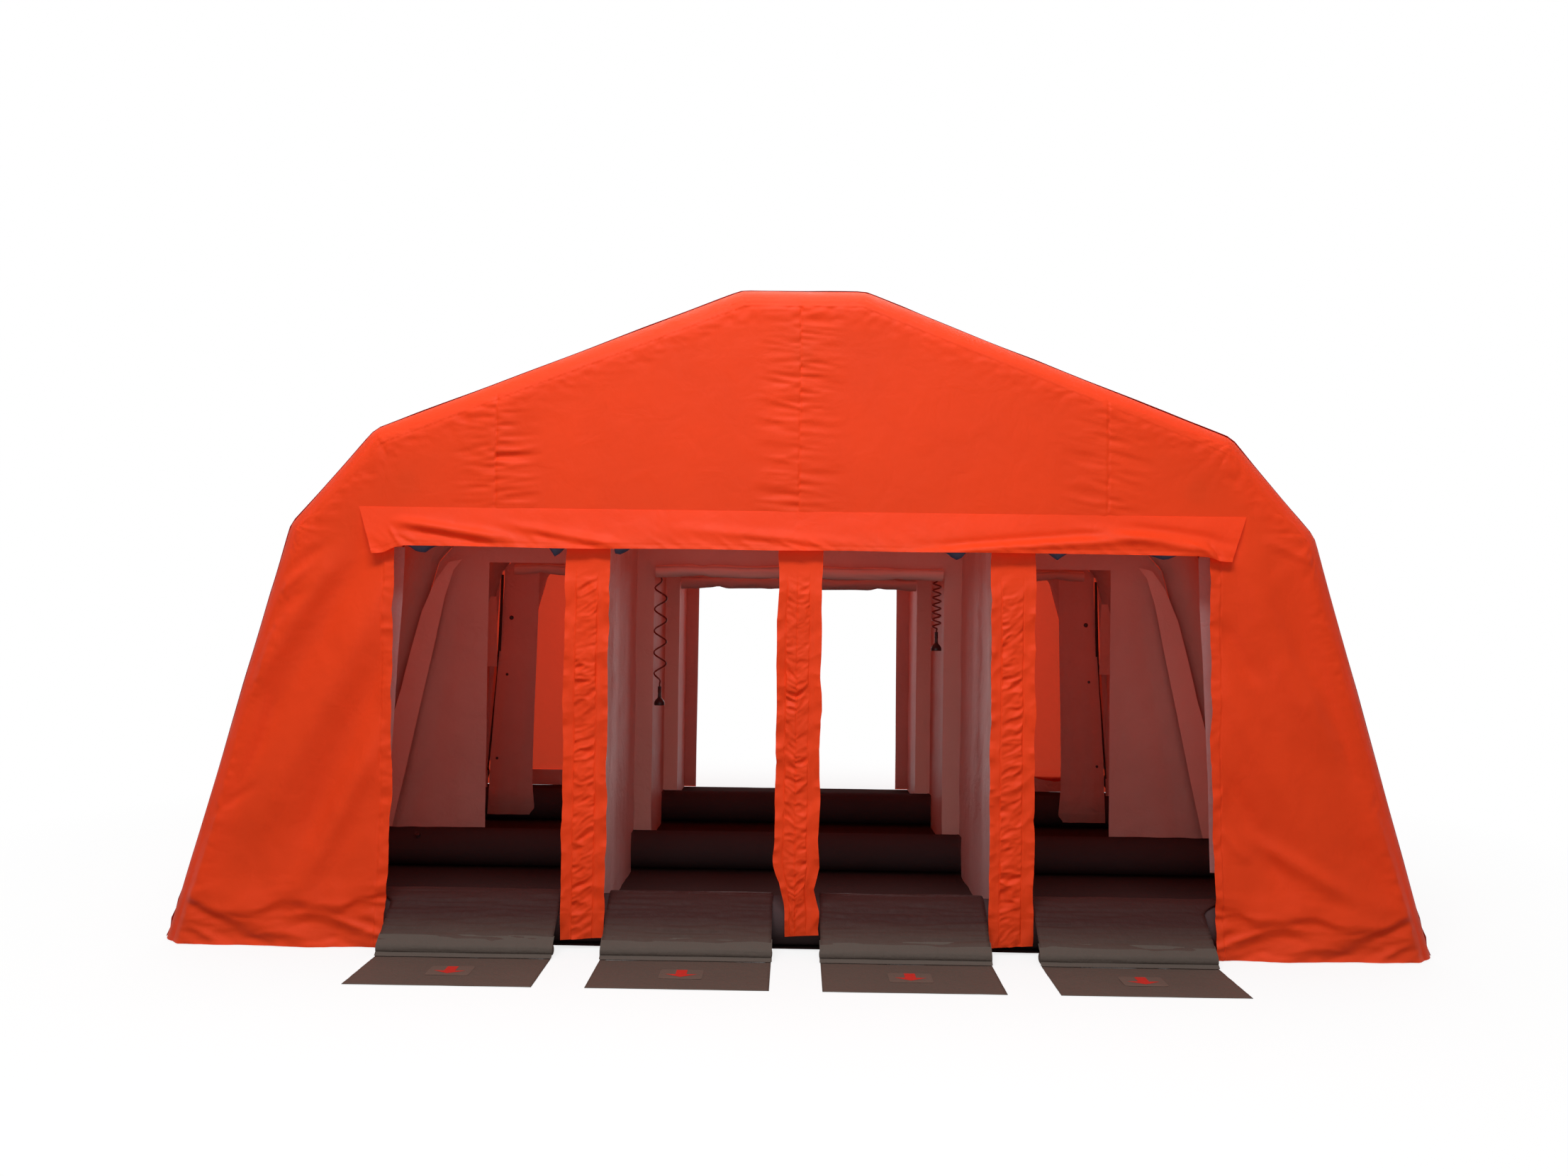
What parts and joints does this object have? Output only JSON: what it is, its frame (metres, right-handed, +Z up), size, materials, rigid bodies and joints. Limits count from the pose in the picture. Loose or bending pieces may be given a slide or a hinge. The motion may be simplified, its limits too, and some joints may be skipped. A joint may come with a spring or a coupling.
{
  "type": "inflatable decontamination tent",
  "caption": "Inflatable decontamination tent with lengthwise shower lanes, front bays with ground ramps, bulkheads, partitions and a lifting valance over the entrance.",
  "frame": {"origin": "on the ground, at the middle of the whole tent with its ramps down", "axes": "+X to the right as seen from the entrance, +Y into the tent, +Z up"},
  "size_m": [6.4776, 6.2992, 3.38],
  "materials": {
    "cover_fabric": "satin",
    "inner_fabric": "matte",
    "partition_sheet": "satin",
    "tube_fabric": "satin",
    "floor_fabric": "satin",
    "hose_rubber": "satin",
    "pipe_metal": "satin",
    "moulded_plastic": "satin"
  },
  "bodies": {
    "root": {"roof_cover": "cover_fabric", "front_gable": "cover_fabric", "rear_gable": "cover_fabric", "door_post_left": "cover_fabric", "door_post_centre": "cover_fabric", "door_post_right": "cover_fabric", "bulkhead_front": "inner_fabric", "bulkhead_rear": "inner_fabric", "curtain_roll_front": "inner_fabric", "curtain_roll_rear": "inner_fabric", "rear_door_roll": "inner_fabric", "door_roll_1": "inner_fabric", "door_roll_2": "inner_fabric", "door_roll_3": "inner_fabric", "door_roll_4": "inner_fabric", "arch_tube_1": "inner_fabric", "arch_tube_2": "inner_fabric", "arch_tube_3": "inner_fabric", "arch_tube_4": "inner_fabric", "partition_left_1": "partition_sheet", "partition_left_2": "partition_sheet", "partition_left_3": "partition_sheet", "partition_right_1": "partition_sheet", "partition_right_2": "partition_sheet", "partition_right_3": "partition_sheet", "sill_tube_front": "tube_fabric", "threshold_tube_1": "tube_fabric", "threshold_tube_2": "tube_fabric", "side_tube_left": "tube_fabric", "side_tube_right": "tube_fabric", "ridge_tube": "tube_fabric", "eave_tube_left": "tube_fabric", "eave_tube_right": "tube_fabric", "floor_sheet": "floor_fabric", "entry_mat_1": "floor_fabric", "entry_mat_2": "floor_fabric", "entry_mat_3": "floor_fabric", "entry_mat_4": "floor_fabric", "coil_hose_left": "hose_rubber", "coil_hose_right": "hose_rubber", "water_pipe_left": "pipe_metal", "water_pipe_right": "pipe_metal", "inflation_valve": "moulded_plastic"},
    "valance": {"valance": "cover_fabric"},
    "ramp_1": {"ramp_1": "floor_fabric"},
    "ramp_2": {"ramp_2": "floor_fabric"},
    "ramp_3": {"ramp_3": "floor_fabric"},
    "ramp_4": {"ramp_4": "floor_fabric"},
    "leaf_left": {"bulkhead_leaf_left": "inner_fabric"},
    "rear_flap_left": {"rear_door_left": "cover_fabric"},
    "shower_left": {"hand_shower_left": "moulded_plastic"},
    "trigger_left": {"shower_trigger_left": "moulded_plastic"},
    "leaf_right": {"bulkhead_leaf_right": "inner_fabric"},
    "rear_flap_right": {"rear_door_right": "cover_fabric"},
    "shower_right": {"hand_shower_right": "moulded_plastic"},
    "trigger_right": {"shower_trigger_right": "moulded_plastic"},
    "valve_cap": {"inflation_valve_cap": "moulded_plastic"}
  },
  "joints": [
    {"name": "valance_lift", "type": "hinge", "parent": "root", "child": "valance", "pos_m": [0, -2.5156, 2.22], "axis": [-1, 0, 0], "range_deg": [0, 110]},
    {"name": "ramp_1_fold", "type": "hinge", "parent": "root", "child": "ramp_1", "pos_m": [-1.6325, -2.7096, 0.004], "axis": [-1, 0, 0], "range_deg": [0, 105]},
    {"name": "ramp_2_fold", "type": "hinge", "parent": "root", "child": "ramp_2", "pos_m": [-0.54, -2.7096, 0.004], "axis": [-1, 0, 0], "range_deg": [0, 105]},
    {"name": "ramp_3_fold", "type": "hinge", "parent": "root", "child": "ramp_3", "pos_m": [0.54, -2.7096, 0.004], "axis": [-1, 0, 0], "range_deg": [0, 105]},
    {"name": "ramp_4_fold", "type": "hinge", "parent": "root", "child": "ramp_4", "pos_m": [1.6325, -2.7096, 0.004], "axis": [-1, 0, 0], "range_deg": [0, 105]},
    {"name": "leaf_left_swing", "type": "hinge", "parent": "root", "child": "leaf_left", "pos_m": [-2.22, 1.214, 2.0197], "axis": [-1, 0, 0], "range_deg": [0, 60]},
    {"name": "rear_flap_left_lift", "type": "hinge", "parent": "root", "child": "rear_flap_left", "pos_m": [-1.6325, 3.1476, 2.05], "axis": [1, 0, 0], "range_deg": [0, 100]},
    {"name": "shower_left_pull", "type": "slide", "parent": "root", "child": "shower_left", "axis": [0, 0, -1], "range_m": [0, 0.35], "stiffness_N_per_m": 12, "springref_m": -0.02, "deforming": ["coil_hose_left"]},
    {"name": "trigger_left_squeeze", "type": "hinge", "parent": "shower_left", "child": "trigger_left", "pos_m": [-1, 0.1187, 1.1399], "axis": [1, 0, 0], "range_deg": [0, 14], "stiffness_Nm_per_rad": 0.01, "springref_deg": -11.46},
    {"name": "leaf_right_swing", "type": "hinge", "parent": "root", "child": "leaf_right", "pos_m": [2.22, 1.214, 2.0197], "axis": [-1, 0, 0], "range_deg": [0, 60]},
    {"name": "rear_flap_right_lift", "type": "hinge", "parent": "root", "child": "rear_flap_right", "pos_m": [1.6325, 3.1476, 2.05], "axis": [1, 0, 0], "range_deg": [0, 100]},
    {"name": "shower_right_pull", "type": "slide", "parent": "root", "child": "shower_right", "axis": [0, 0, -1], "range_m": [0, 0.6], "stiffness_N_per_m": 12, "springref_m": -0.02, "deforming": ["coil_hose_right"]},
    {"name": "trigger_right_squeeze", "type": "hinge", "parent": "shower_right", "child": "trigger_right", "pos_m": [1, 0.1187, 1.5599], "axis": [1, 0, 0], "range_deg": [0, 14], "stiffness_Nm_per_rad": 0.01, "springref_deg": -11.46},
    {"name": "valve_cap_turn", "type": "hinge", "parent": "root", "child": "valve_cap", "pos_m": [-2.49, -0.67687, 0.22217], "axis": [0, -0.7071, 0.7071], "range_deg": [0, 90]}
  ]
}
